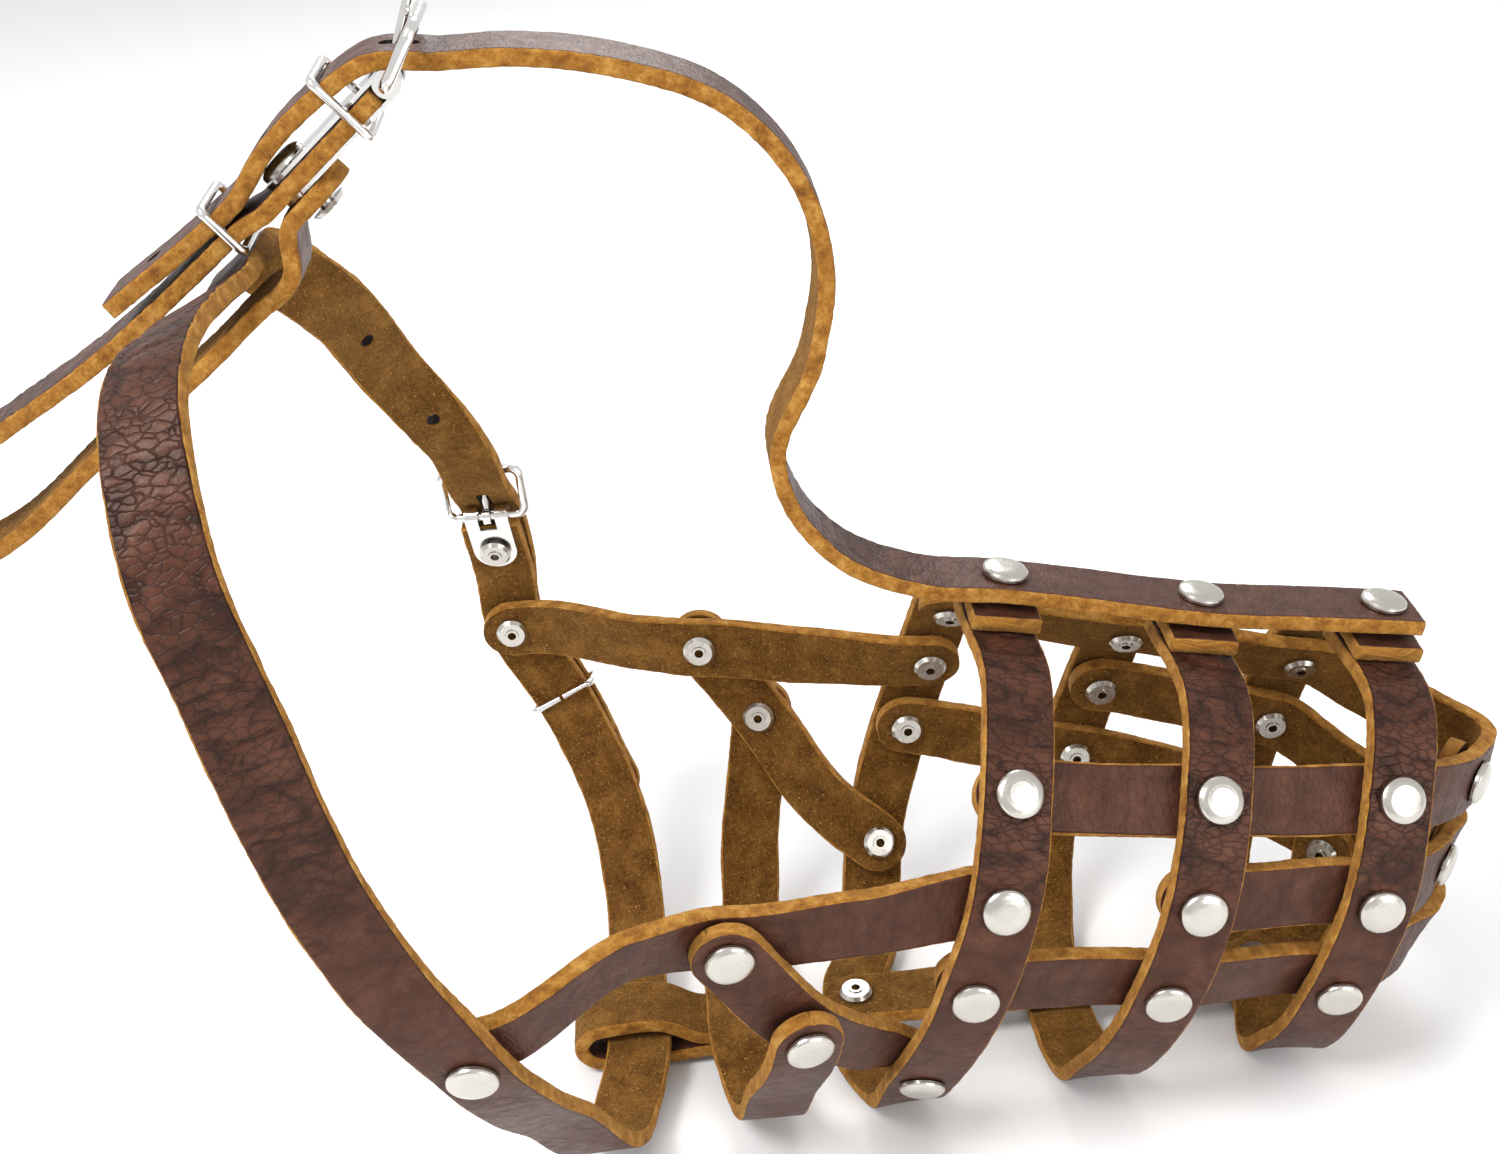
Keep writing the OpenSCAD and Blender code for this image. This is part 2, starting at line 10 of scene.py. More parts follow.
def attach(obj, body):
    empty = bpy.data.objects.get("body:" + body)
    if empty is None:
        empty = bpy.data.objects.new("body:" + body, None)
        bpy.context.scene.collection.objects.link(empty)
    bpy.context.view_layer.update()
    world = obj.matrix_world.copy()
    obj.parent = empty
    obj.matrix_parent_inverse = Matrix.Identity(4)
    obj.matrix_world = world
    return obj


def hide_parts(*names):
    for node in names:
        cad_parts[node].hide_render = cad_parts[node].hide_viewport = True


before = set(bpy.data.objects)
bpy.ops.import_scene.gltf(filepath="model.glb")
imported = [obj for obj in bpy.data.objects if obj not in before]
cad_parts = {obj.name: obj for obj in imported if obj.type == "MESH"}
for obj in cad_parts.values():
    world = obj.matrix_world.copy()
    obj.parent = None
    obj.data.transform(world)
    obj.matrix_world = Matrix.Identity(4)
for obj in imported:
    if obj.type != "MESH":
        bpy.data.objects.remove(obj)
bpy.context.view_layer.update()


# ---- Sizes in mm, the same as the CAD's ----
W, T, LAP = 15.0, 3.5, 1.45
PITCH = T + LAP
BAR_LAP, SHEET, FIT, LOOP_GAP = 1.2, 0.8, 0.15, 0.3
CENTRE = np.array([60.55, -0.98, 0.0])


def vec(*v):
    return np.array(v, float)


def unit(v):
    v = np.asarray(v, float)
    return v / np.linalg.norm(v)


def flip(v):
    return vec(v[0], -v[1], v[2])


# ---- Routes: control points (point, across, outward); across or outward is None ----

class Frame:
    def __init__(self, p, along, over):
        self.p = np.asarray(p, float)
        self.t = np.asarray(along, float)
        self.b = unit(np.asarray(over, float) - self.t * np.dot(over, self.t))
        self.n = np.cross(self.t, self.b)

    def at(self, x, y, z):
        return self.p + self.t * x + self.b * y + self.n * z

    def flat(self, x, y, z):
        return (self.at(x, y, z), None, self.n)


def chord(r, i):
    if i == 0:
        return unit(r[1][0] - r[0][0])
    if i == len(r) - 1:
        return unit(r[i][0] - r[i - 1][0])
    a, b = r[i][0] - r[i - 1][0], r[i + 1][0] - r[i][0]
    la, lb = np.linalg.norm(a), np.linalg.norm(b)
    return unit(a * lb / la + b * la / lb)


def tangent(r, i):
    t, n = chord(r, i), r[i][2]
    return t if n is None else unit(t - n * np.dot(t, n))


def across(r, i):
    return r[i][1] if r[i][2] is None else np.cross(r[i][2], tangent(r, i))


def frame_at(r, i):
    return Frame(r[i][0], tangent(r, i), across(r, i))


def inside(r, i, n=1):
    return frame_at(r, i).flat(0, 0, -n * PITCH)


def ring_frame(r, i, s):
    p, q = r[i][0], r[i + 1][0]
    d = np.linalg.norm(q - p)
    m, n = tangent(r, i) * d, tangent(r, i + 1) * d
    s2, s3 = s * s, s ** 3
    c = p * (2 * s3 - 3 * s2 + 1) + m * (s3 - 2 * s2 + s) + q * (3 * s2 - 2 * s3) + n * (s3 - s2)
    v = p * (6 * s2 - 6 * s) + m * (3 * s2 - 4 * s + 1) + q * (6 * s - 6 * s2) + n * (3 * s2 - 2 * s)
    e = 3 * s2 - 2 * s3
    return Frame(c, unit(v), across(r, i) * (1 - e) + across(r, i + 1) * e)


def opposite(s):
    return (flip(s[0]), -flip(s[1]), None) if s[2] is None else (flip(s[0]), None, flip(s[2]))


def mirrored(s):
    return (flip(s[0]), flip(s[1]), None) if s[2] is None else opposite(s)


def pt(p, b):
    return (np.asarray(p, float), np.asarray(b, float), None)


OVER_Y = vec(0, -1, 0)
head_down = Frame((-113.5, 0, 239.5), unit((-0.766, 0, -0.643)), OVER_Y)
crown = Frame((-148.5, 0, 204.2), unit((-0.79, 0, -0.61)), OVER_Y)
nose_route = [pt(p, OVER_Y) for p in (
    (91, 0, 105), (84, 0, 106.2), (43, 0, 112.4), (0, 0, 122.3), (-18, 0, 125.5), (-36, 0, 135),
    (-47, 0, 158), (-38.5, 0, 179), (-35.5, 0, 197), (-39.5, 0, 215), (-52.5, 0, 231),
    (-72, 0, 239.5), (-92, 0, 243), (-103.5, 0, 243.2),
    head_down.at(0, 0, 5.4), head_down.at(9, 0, 7.2), head_down.at(26, 0, 7.4),
    crown.at(-13, 0, 10.4), crown.at(-3, 0, 10.6), crown.at(20, 0, 12.2))]
NOSE = [3, 2, 1]
HOOP_B, LOW_B, FLAT_B = vec(0.97, 0, -0.24), vec(0.98, 0, 0.2), vec(1, 0, 0)
DOWN = vec(0, 0, -1)


def hoop(k, side, bottom_x):
    top = frame_at(nose_route, NOSE[k])
    side = [vec(*p) for p in side]
    r = [(top.p - top.n * 2 * PITCH + vec(0, 9, -0.5), None, top.n), inside(nose_route, NOSE[k], 2)]
    r += [pt(flip(p) - vec(0, 0, 2 if p[2] > 90 else 0), HOOP_B if p[2] > 8 else LOW_B) for p in side]
    r += [(vec(bottom_x, y, 4.05), None, DOWN) for y in (-9, 0, 9)]
    r += [pt(p, HOOP_B if p[2] > 8 else LOW_B) for p in side[::-1]]
    r += [inside(nose_route, NOSE[k]), (top.p - top.n * PITCH + vec(0, -9, -0.8), None, top.n)]
    return r


NEAR, FAR, BOTTOM = [3, 4, 5, 6], [15, 14, 13, 12], 9
rear = hoop(0, [(-1.5, 22, 112.5), (-5, 41.7, 98), (-9.5, 52, 76), (-16, 53.6, 55), (-26, 43.6, 24),
                (-30, 26, 4.5)], -36)
middle = hoop(1, [(41, 22, 103), (37, 39, 88), (32.5, 47.5, 67), (26, 48.3, 45), (18, 39, 19),
                  (15, 23, 4.5)], 13)
front = hoop(2, [(82.5, 18, 96), (78, 33.2, 79.5), (73.5, 40, 57), (67, 39, 33.5), (62, 31, 13),
                 (60, 20, 4.5)], 62)


def wrap(hoops, row, nose, apex):
    nose = [pt(*p) for p in nose]
    return ([inside(h, NEAR[row]) for h in hoops] + [mirrored(p) for p in nose] + [pt(*apex)]
            + nose[::-1] + [inside(h, FAR[row]) for h in hoops[::-1]])


upper_wrap = wrap([rear, middle, front], 0,
                  [((92, 22, 72), (0.1, -0.1, 1)), ((103.5, 12, 67.5), (0.1, 0, 1))],
                  ((111, 0, 66), (0.12, 0, 1)))
middle_wrap = wrap([middle, front], 1, [((88, 24, 49), (0.3, -0.3, 0.9)), ((98.5, 12, 45), (0.4, -0.3, 0.9))],
                   ((105, 0, 44), (0.4, 0, 0.9)))
lower_wrap = wrap([rear, middle, front], 2,
                  [((87, 20.5, 27.5), (0.5, -0.3, 0.85)), ((97, 10, 25), (0.6, -0.2, 0.8))],
                  ((101, 0, 24.5), (0.6, 0, 0.8)))
deep = -T - BAR_LAP
front_bar = [frame_at(upper_wrap, 4).flat(0, 0, deep), frame_at(middle_wrap, 3).flat(0, 0, deep)]
chin_strap = [inside(h, BOTTOM) for h in (rear, middle, front)] + [
    pt((74, 6, 12.5), (0.3, -0.95, -0.2)), frame_at(lower_wrap, 7).flat(0, 0, deep)]

DIAG_B = vec(0.75, 0, 0.6)
diagonal = [pt((-66, -61.6, 78.3), DIAG_B), pt((-52.5, -58, 56.5), DIAG_B), pt((-38, -45.5, 37), DIAG_B),
            inside(rear, NEAR[3])]
SIDE_B, NEAR_B = vec(-0.96, 0, -0.27), vec(-0.93, -0.2, -0.27)
FAR_B, BACK_B = vec(-0.8, -0.5, -0.3), vec(-1, 0, 0)
down = Frame((-117, 78.5, 110), unit((0.08, 0.28, -0.95)), vec(-0.97, 0.1, -0.1))
collar = [
    down.flat(3, 0, 0), down.flat(10, 0, 0), down.flat(19, 0, 0), (vec(-115, 84.5, 76), None, vec(0, 1, 0)),
    pt((-104, 80, 54), SIDE_B), pt((-93, 64, 30), SIDE_B), pt((-89, 38, 12), BACK_B),
    pt((-89.5, 12, 7.5), BACK_B), pt((-89.5, -10, 7.5), BACK_B), pt((-94, -32, 6.5), BACK_B),
    pt((-104, -62, 40), SIDE_B), (vec(-115, -84.5, 76), None, vec(0, -0.96, -0.28)),
    pt((-130, -88, 109), NEAR_B), pt((-142, -86, 154), NEAR_B), pt((-150, -78, 189), NEAR_B),
    pt((-153, -58, 206), SIDE_B), pt((-150.5, -30, 208), (-0.9, 0, -0.43)),
    crown.flat(0, 9, 0), crown.flat(0, -9, 0), pt((-137.5, 30, 187), FAR_B), pt((-130.5, 52, 161), FAR_B),
    pt(down.at(-24, 0, -4), down.b), pt(down.at(-12, 0, -0.5), down.b), pt(down.at(0, 0, 5), down.b),
    pt(down.at(9, 0, 7), down.b), pt(down.at(19, 0, 7), down.b), (vec(-115.5, 91.3, 76), None, vec(0, 1, 0)),
    pt((-105, 88, 54), SIDE_B), pt((-93.5, 73, 30), SIDE_B)]
cheek = [inside(collar, 11), pt((-84, -64, 83), (0, -0.4, 0.9)), inside(diagonal, 0),
         pt((-40, -53, 76), (0, 0, 1)), inside(rear, NEAR[1])]
cheek_far = [inside(collar, 3), pt((-80, 61, 79), DOWN), opposite(cheek[2]),
             pt((-40, 53, 76), DOWN), opposite(cheek[4])]
diagonal_far = [opposite(s) for s in diagonal]
THROAT_X = -64.8
throat_z = [4.05 + i * (T + LOOP_GAP) for i in range(3)]
throat_half = [frame_at(diagonal, 1).flat(0, 0, PITCH),
               pt((-57, -49, 30), FLAT_B), pt((-61, -27, 6.5), FLAT_B),
               (vec(THROAT_X, -9, throat_z[2]), None, DOWN)]
throat = (throat_half + [(vec(THROAT_X, 0, throat_z[2]), None, DOWN)]
          + [mirrored(s) for s in throat_half[::-1]])
loop = [pt(p, OVER_Y) for p in (
    (THROAT_X, 0, throat_z[0]), (-72, 0, throat_z[0]), (-82, 0, 3), (-93, 0, 2.4), (-101, 0, 4),
    (-103, 0, 7.6), (-101, 0, 11.2), (-93, 0, 13), (-83, 0, 12.6), (-74, 0, throat_z[1]),
    (THROAT_X, 0, throat_z[1]))]
LEAF = -T - 2 * FIT - SHEET
head_loop = ([head_down.flat(x, 0, 0) for x in (3.2, 12, 26, 32.5)]
             + [pt(p, OVER_Y) for p in (
                 crown.at(-9, 0, 6.3), crown.at(0, 0, 6.3), crown.at(10, 0, 6.3), (-175, 0, 192.5),
                 (-200, 0, 177.7), (-226, 0, 162), (-233, 0, 154), (-224, 0, 147.5), (-206, 0, 153),
                 (-180, 0, 172), crown.at(13, 0, -7.5), crown.at(0, 0, -7), crown.at(-9, 0, -7))]
             + [(head_down.at(26 + x, 0, LEAF), None, -head_down.n) for x in (5, 0)])


# ---- Smooth noise on a grid, seeded ----

class Noise:
    def __init__(self, seed):
        self.g = np.random.default_rng(seed).random((256, 256)) * 2 - 1

    def __call__(self, x, y):
        xi, yi = np.floor(x).astype(int), np.floor(y).astype(int)
        fx, fy = x - xi, y - yi
        fx, fy = fx * fx * (3 - 2 * fx), fy * fy * (3 - 2 * fy)
        g = self.g
        a, b = g[xi % 256, yi % 256], g[(xi + 1) % 256, yi % 256]
        c, d = g[xi % 256, (yi + 1) % 256], g[(xi + 1) % 256, (yi + 1) % 256]
        return (a * (1 - fx) + b * fx) * (1 - fy) + (c * (1 - fx) + d * fx) * fy


# ---- A strap as a dense mesh ----

def section():
    """Rounded cross section from the grain side round: (u, v, zone) in mm.

    Zone 0 is grain, 1 edge and 2 suede.
    """
    out = []
    hw, ht, rg, rs = W / 2, T / 2, 0.75, 0.45
    for u in np.linspace(-hw + rg, hw - rg, 25):
        out.append((u, ht, 0))
    for a in (30, 60):
        out.append((hw - rg + rg * math.sin(math.radians(a)), ht - rg + rg * math.cos(math.radians(a)),
                    0 if a < 45 else 1))
    for v in np.linspace(ht - rg, -ht + rs, 5):
        out.append((hw, v, 1))
    out.append((hw - rs * 0.3, -ht + rs * 0.3, 1))
    for u in np.linspace(hw - rs, -hw + rs, 17):
        out.append((u, -ht, 2))
    out.append((-hw + rs * 0.3, -ht + rs * 0.3, 1))
    for v in np.linspace(-ht + rs, ht - rg, 5):
        out.append((-hw, v, 1))
    for a in (60, 30):
        out.append((-hw + rg - rg * math.sin(math.radians(a)), ht - rg + rg * math.cos(math.radians(a)),
                    0 if a < 45 else 1))
    return out


SECTION = section()
STEP = 0.8


def strap(name, node, body, route, seed, first=True, last=True, crease=None, holes=()):
    """crease: function of the route parameter giving the depth of the transverse creases in mm."""
    frames, params = [], []
    for i in range(len(route) - 1):
        n = max(3, int(np.linalg.norm(route[i + 1][0] - route[i][0]) / STEP))
        for k in range(n):
            frames.append(ring_frame(route, i, k / n))
            params.append(i + k / n)
    frames.append(frame_at(route, len(route) - 1))
    params.append(len(route) - 1.0)
    scale = [1.0] * len(frames)

    def cap(f, sign):
        fs, sc = [], []
        for a in np.linspace(88, 6, 14):
            fs.append(Frame(f.p + f.t * sign * W / 2 * math.cos(math.radians(a)), f.t, f.b))
            sc.append(math.sin(math.radians(a)))
        return fs, sc
    if first:
        fs, sc = cap(frames[0], -1)
        frames, scale, params = fs[::-1] + frames, sc[::-1] + scale, [0.0] * 14 + params
    if last:
        fs, sc = cap(frames[-1], 1)
        frames, scale, params = frames + fs, scale + sc, params + [params[-1]] * 14
    P = np.array([f.p for f in frames])
    B = np.array([f.b for f in frames])
    N = np.array([f.n for f in frames])
    sc = np.array(scale)
    s = np.concatenate([[0], np.cumsum(np.linalg.norm(np.diff(P, axis=0), axis=1))])
    sec = np.array(SECTION)
    u, v, zone = sec[:, 0], sec[:, 1], sec[:, 2].astype(int)
    S, U = np.meshgrid(s, u, indexing="ij")
    V = np.tile(v, (len(s), 1))
    n1, n2, n3 = Noise(seed), Noise(seed + 1), Noise(seed + 2)
    grain, edge, suede = (zone == 0)[None, :], (zone == 1)[None, :], (zone == 2)[None, :]
    depth = np.array([crease(p) if crease else 0.10 for p in params])[:, None]
    bend = 0.8 * n2(S / 6, U / 5)
    wrinkle = np.minimum(np.abs(n1(S / 2.6 + bend, U / 9 + 7)), 0.35) / 0.35
    fine = np.minimum(np.abs(n3(S / 1.3 + bend, U / 4)), 0.3) / 0.3
    pebble = n2(S / 0.9, U / 0.9) * 0.02
    dv = np.where(grain, -depth * (1 - wrinkle) - 0.4 * depth * (1 - fine) + pebble, 0)
    dv = dv + np.where(suede, 0.10 * n1(S / 1.1, U / 1.1) + 0.05 * n2(S / 0.5, U / 0.5), 0)
    rough = 0.10 * n1(S / 1.2 + 31, V / 0.8 + 5) + 0.12 * n3(S / 5 + 9, V / 3)
    du = np.where(edge, np.sign(U) * rough, 0)
    wave = 0.25 * n2(S / 14 + 3, np.sign(U) * 5 + 40)
    width = sc[:, None] * (U + du) + np.sign(U) * wave * sc[:, None] * (np.abs(U) / (W / 2))
    pos = P[:, None, :] + B[:, None, :] * width[..., None] + N[:, None, :] * (V + dv)[..., None]
    pos = (pos + CENTRE) * 0.001
    rows, cols = pos.shape[:2]
    idx = np.arange(rows * cols).reshape(rows, cols)
    a, b = idx[:-1], idx[1:]
    quads = np.stack([a, b, np.roll(b, -1, 1), np.roll(a, -1, 1)], -1).reshape(-1, 4)
    zones = np.tile(np.where((zone == 1) | (np.roll(zone, -1) == 1), 1, zone), rows - 1)
    faces = [tuple(q) for q in quads.tolist()] + [tuple(idx[0].tolist()), tuple(idx[-1][::-1].tolist())]
    mesh = bpy.data.meshes.new(name)
    mesh.from_pydata(pos.reshape(-1, 3).tolist(), [], faces)
    mats = np.concatenate([zones, [1, 1]]).astype(np.int32)
    for m in LEATHER:
        mesh.materials.append(m)
    mesh.polygons.foreach_set("material_index", mats)
    mesh.polygons.foreach_set("use_smooth", np.ones(len(mats), bool))
    uv = mesh.uv_layers.new(name="strap")
    girth = np.cumsum(np.abs(np.gradient(u)) + np.abs(np.gradient(v)))
    flat = np.stack([S.ravel() + seed * 13.7, np.tile(girth, rows)], -1) * 0.01
    loops = np.zeros(len(mesh.loops), np.int32)
    mesh.loops.foreach_get("vertex_index", loops)
    uv.data.foreach_set("uv", flat[loops].ravel())
    # Crease mask: where the grain material paints shade into the crease valleys
    crease_shade = np.where(grain, np.clip(depth * 4, 0, 1) * (1 - wrinkle), 0)
    wear = np.broadcast_to(np.clip(depth * 3.2, 0.25, 1), S.shape)
    for attribute, values in (("crease", crease_shade), ("worn", wear)):
        layer = mesh.attributes.new(attribute, "FLOAT", "POINT")
        layer.data.foreach_set("value", values.ravel().astype(np.float32))
    mesh.update()
    obj = bpy.data.objects.new(name, mesh)
    bpy.context.collection.objects.link(obj)
    bm = bmesh.new()
    bm.from_mesh(mesh)
    bmesh.ops.recalc_face_normals(bm, faces=bm.faces)
    bm.to_mesh(mesh)
    bm.free()
    if holes:
        cutters = []
        for f, r, long in holes:
            for x in ((-long, -long / 2, 0, long / 2, long) if long else (0,)):
                bpy.ops.mesh.primitive_cylinder_add(vertices=32, radius=r * 0.001, depth=3 * T * 0.001)
                c = bpy.context.object
                q = (f.p + f.t * x + CENTRE) * 0.001
                c.matrix_world = Matrix(((f.t[0], f.b[0], f.n[0], q[0]), (f.t[1], f.b[1], f.n[1], q[1]),
                                         (f.t[2], f.b[2], f.n[2], q[2]), (0, 0, 0, 1)))
                # The cutters give the hole walls the near-black material, painted shade
                c.data.materials.append(LEATHER[3])
                cutters.append(c)
        for c in cutters:
            uncut, span = obj.data.copy(), tuple(obj.dimensions)
            m = obj.modifiers.new("hole", "BOOLEAN")
            m.operation, m.solver, m.object = "DIFFERENCE", "EXACT", c
            bpy.context.view_layer.objects.active = obj
            with bpy.context.temp_override(object=obj, active_object=obj, selected_objects=[obj]):
                bpy.ops.object.modifier_apply(modifier=m.name)
            bpy.context.view_layer.update()
            # A hole leaves the strap's faces and its overall size as they were
            if (len(obj.data.polygons) < 0.9 * len(uncut.polygons)
                    or max(abs(a - b) for a, b in zip(obj.dimensions, span)) > 0.001):
                print(f"hole not cut in {name}: the strap was lost, so it is kept whole")
                obj.data = uncut
        for c in cutters:
            bpy.data.objects.remove(c, do_unlink=True)
    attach(obj, body)
    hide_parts(node)
    return obj


# ---- Materials ----

def new_material(name):
    m = bpy.data.materials.new(name)
    m.use_nodes = True
    nt = m.node_tree
    return m, nt, nt.nodes["Principled BSDF"]


def add(nt, kind, **values):
    n = nt.nodes.new(kind)
    for k, v in values.items():
        if k.startswith("in_"):
            n.inputs[k[3:].replace("_", " ")].default_value = v
        else:
            setattr(n, k, v)
    return n


def ramp(nt, src, *stops):
    r = nt.nodes.new("ShaderNodeValToRGB")
    while len(r.color_ramp.elements) < len(stops):
        r.color_ramp.elements.new(0.5)
    for e, (p, c) in zip(r.color_ramp.elements, stops):
        e.position, e.color = p, (*c, 1)
    nt.links.new(src, r.inputs["Fac"])
    return r.outputs["Color"]


def noise(nt, coord, scale, detail=4.0, rough=0.6, stretch=None):
    if stretch:
        m = nt.nodes.new("ShaderNodeMapping")
        m.inputs["Scale"].default_value = stretch
        nt.links.new(coord, m.inputs["Vector"])
        coord = m.outputs["Vector"]
    n = add(nt, "ShaderNodeTexNoise", in_Scale=scale, in_Detail=detail, in_Roughness=rough)
    nt.links.new(coord, n.inputs["Vector"])
    return n.outputs["Fac"]


def mix(nt, fac, a, b, blend="MIX"):
    m = nt.nodes.new("ShaderNodeMix")
    m.data_type, m.blend_type = "RGBA", blend
    if isinstance(fac, float):
        m.inputs[0].default_value = fac
    else:
        nt.links.new(fac, m.inputs[0])
    for i, c in ((6, a), (7, b)):
        if isinstance(c, tuple):
            m.inputs[i].default_value = (*c, 1)
        else:
            nt.links.new(c, m.inputs[i])
    return m.outputs[2]


def bump(nt, bsdf, height, strength, distance):
    b = add(nt, "ShaderNodeBump", in_Strength=strength, in_Distance=distance)
    nt.links.new(height, b.inputs["Height"])
    nt.links.new(b.outputs["Normal"], bsdf.inputs["Normal"])


def grain_material():
    """Dark red-brown grain, cracked across the strap where it is worn, with painted shade in the crease
    valleys.
    """
    m, nt, bsdf = new_material("leather_grain")
    uv = add(nt, "ShaderNodeUVMap", uv_map="strap").outputs["UV"]
    base = ramp(nt, noise(nt, uv, 12, 5), (0.30, (0.052, 0.018, 0.010)), (0.55, (0.082, 0.029, 0.017)),
                (0.78, (0.125, 0.050, 0.031)))
    bent = add(nt, "ShaderNodeVectorMath", operation="ADD")
    sway = add(nt, "ShaderNodeTexNoise", in_Scale=28.0, in_Detail=2.0)
    nt.links.new(uv, sway.inputs["Vector"])
    small = add(nt, "ShaderNodeVectorMath", operation="SCALE")
    small.inputs["Scale"].default_value = 0.022
    nt.links.new(sway.outputs["Color"], small.inputs[0])
    nt.links.new(uv, bent.inputs[0])
    nt.links.new(small.outputs[0], bent.inputs[1])
    long = add(nt, "ShaderNodeMapping")
    long.inputs["Scale"].default_value = (1.0, 0.5, 1.0)
    nt.links.new(bent.outputs[0], long.inputs["Vector"])
    cells = add(nt, "ShaderNodeTexVoronoi", feature="DISTANCE_TO_EDGE", in_Scale=62.0)
    nt.links.new(long.outputs["Vector"], cells.inputs["Vector"])
    plate = ramp(nt, cells.outputs["Distance"], (0.0, (0, 0, 0)), (0.10, (0.8, 0.8, 0.8)), (0.3, (1, 1, 1)))
    worn_here = add(nt, "ShaderNodeAttribute", attribute_name="worn").outputs["Fac"]
    cracked = mix(nt, worn_here, (1.0, 1.0, 1.0), plate)
    # Painted shade: near-black colour mixed in along the crease valleys
    creases = add(nt, "ShaderNodeAttribute", attribute_name="crease").outputs["Fac"]
    colour = mix(nt, creases, base, (0.024, 0.008, 0.005))
    colour = mix(nt, 0.6, colour, cracked, "MULTIPLY")
    pores = noise(nt, uv, 260, 3, 0.7)
    colour = mix(nt, 0.35, colour, ramp(nt, pores, (0.3, (0.4, 0.33, 0.3)), (0.7, (1, 1, 1))), "MULTIPLY")
    nt.links.new(colour, bsdf.inputs["Base Color"])
    rough = add(nt, "ShaderNodeMapRange", in_From_Min=0.3, in_From_Max=0.7, in_To_Min=0.36, in_To_Max=0.52)
    nt.links.new(noise(nt, uv, 30, 4), rough.inputs["Value"])
    nt.links.new(rough.outputs["Result"], bsdf.inputs["Roughness"])
    bsdf.inputs["Specular IOR Level"].default_value = 0.26
    bsdf.inputs["Specular Tint"].default_value = (1.0, 0.80, 0.70, 1.0)
    fine = add(nt, "ShaderNodeTexVoronoi", in_Scale=170.0)
    nt.links.new(uv, fine.inputs["Vector"])
    pebble = add(nt, "ShaderNodeMath", operation="MULTIPLY")
    pebble.inputs[1].default_value = 0.35
    nt.links.new(fine.outputs["Distance"], pebble.inputs[0])
    height = add(nt, "ShaderNodeMath", operation="ADD")
    nt.links.new(pebble.outputs[0], height.inputs[0])
    nt.links.new(cracked, height.inputs[1])
    bump(nt, bsdf, height.outputs[0], 0.7, 0.00022)
    return m


def edge_material():
    m, nt, bsdf = new_material("leather_edge")
    uv = add(nt, "ShaderNodeUVMap", uv_map="strap").outputs["UV"]
    co = add(nt, "ShaderNodeTexCoord").outputs["Object"]
    slow = ramp(nt, noise(nt, uv, 26, 6, 0.7), (0.32, (0.20, 0.068, 0.008)), (0.5, (0.43, 0.185, 0.026)),
                (0.68, (0.66, 0.36, 0.085)))
    fibre = noise(nt, co, 1500, 6, 0.75)
    colour = mix(nt, 0.6, slow, ramp(nt, fibre, (0.34, (0.35, 0.25, 0.18)), (0.5, (0.85, 0.8, 0.7)),
                                     (0.68, (1, 1, 0.95))), "MULTIPLY")
    nt.links.new(colour, bsdf.inputs["Base Color"])
    bsdf.inputs["Roughness"].default_value = 0.85
    bsdf.inputs["Specular IOR Level"].default_value = 0.2
    bsdf.inputs["Sheen Weight"].default_value = 0.25
    bsdf.inputs["Sheen Tint"].default_value = (0.85, 0.55, 0.20, 1.0)
    bsdf.inputs["Sheen Roughness"].default_value = 0.5
    bump(nt, bsdf, fibre, 1.0, 0.0007)
    return m


def suede_material():
    m, nt, bsdf = new_material("leather_suede")
    uv = add(nt, "ShaderNodeUVMap", uv_map="strap").outputs["UV"]
    co = add(nt, "ShaderNodeTexCoord").outputs["Object"]
    slow = ramp(nt, noise(nt, uv, 14, 5), (0.3, (0.105, 0.040, 0.007)), (0.5, (0.175, 0.076, 0.014)),
                (0.72, (0.29, 0.140, 0.030)))
    fibre = noise(nt, co, 900, 6, 0.75)
    colour = mix(nt, 0.75, slow, ramp(nt, fibre, (0.36, (0.25, 0.18, 0.14)), (0.5, (0.85, 0.8, 0.75)),
                                      (0.66, (1.0, 0.95, 0.85))), "MULTIPLY")
    specks = ramp(nt, noise(nt, co, 2200, 2, 0.5), (0.62, (0, 0, 0)), (0.72, (1, 1, 1)))
    colour = mix(nt, specks, colour, (0.50, 0.26, 0.07))
    nt.links.new(colour, bsdf.inputs["Base Color"])
    bsdf.inputs["Roughness"].default_value = 0.95
    bsdf.inputs["Specular IOR Level"].default_value = 0.12
    bsdf.inputs["Sheen Weight"].default_value = 0.3
    bsdf.inputs["Sheen Tint"].default_value = (0.75, 0.45, 0.15, 1.0)
    bsdf.inputs["Sheen Roughness"].default_value = 0.5
    bump(nt, bsdf, fibre, 1.0, 0.0008)
    return m


# Near-black walls for the punched holes: painted shade inside the holes
def hole_shade_material():
    m, nt, bsdf = new_material("leather_hole_shade")
    co = add(nt, "ShaderNodeTexCoord").outputs["Object"]
    dark = ramp(nt, noise(nt, co, 900, 4), (0.35, (0.006, 0.003, 0.002)), (0.65, (0.020, 0.009, 0.004)))
    nt.links.new(dark, bsdf.inputs["Base Color"])
    bsdf.inputs["Roughness"].default_value = 0.95
    return m


def metal_material(name, colour, rough, scratch):
    m, nt, bsdf = new_material(name)
    co = add(nt, "ShaderNodeTexCoord").outputs["Object"]
    n = noise(nt, co, 90, 5, 0.65)
    nt.links.new(ramp(nt, n, (0.3, tuple(c * 0.9 for c in colour)), (0.7, colour)), bsdf.inputs["Base Color"])
    r = add(nt, "ShaderNodeMapRange", in_From_Min=0.3, in_From_Max=0.7,
            in_To_Min=rough, in_To_Max=rough + scratch)
    nt.links.new(noise(nt, co, 500, 4, 0.6), r.inputs["Value"])
    nt.links.new(r.outputs["Result"], bsdf.inputs["Roughness"])
    bsdf.inputs["Metallic"].default_value = 1.0
    bump(nt, bsdf, noise(nt, co, 250, 4, 0.6), 0.25, 0.00015)
    return m
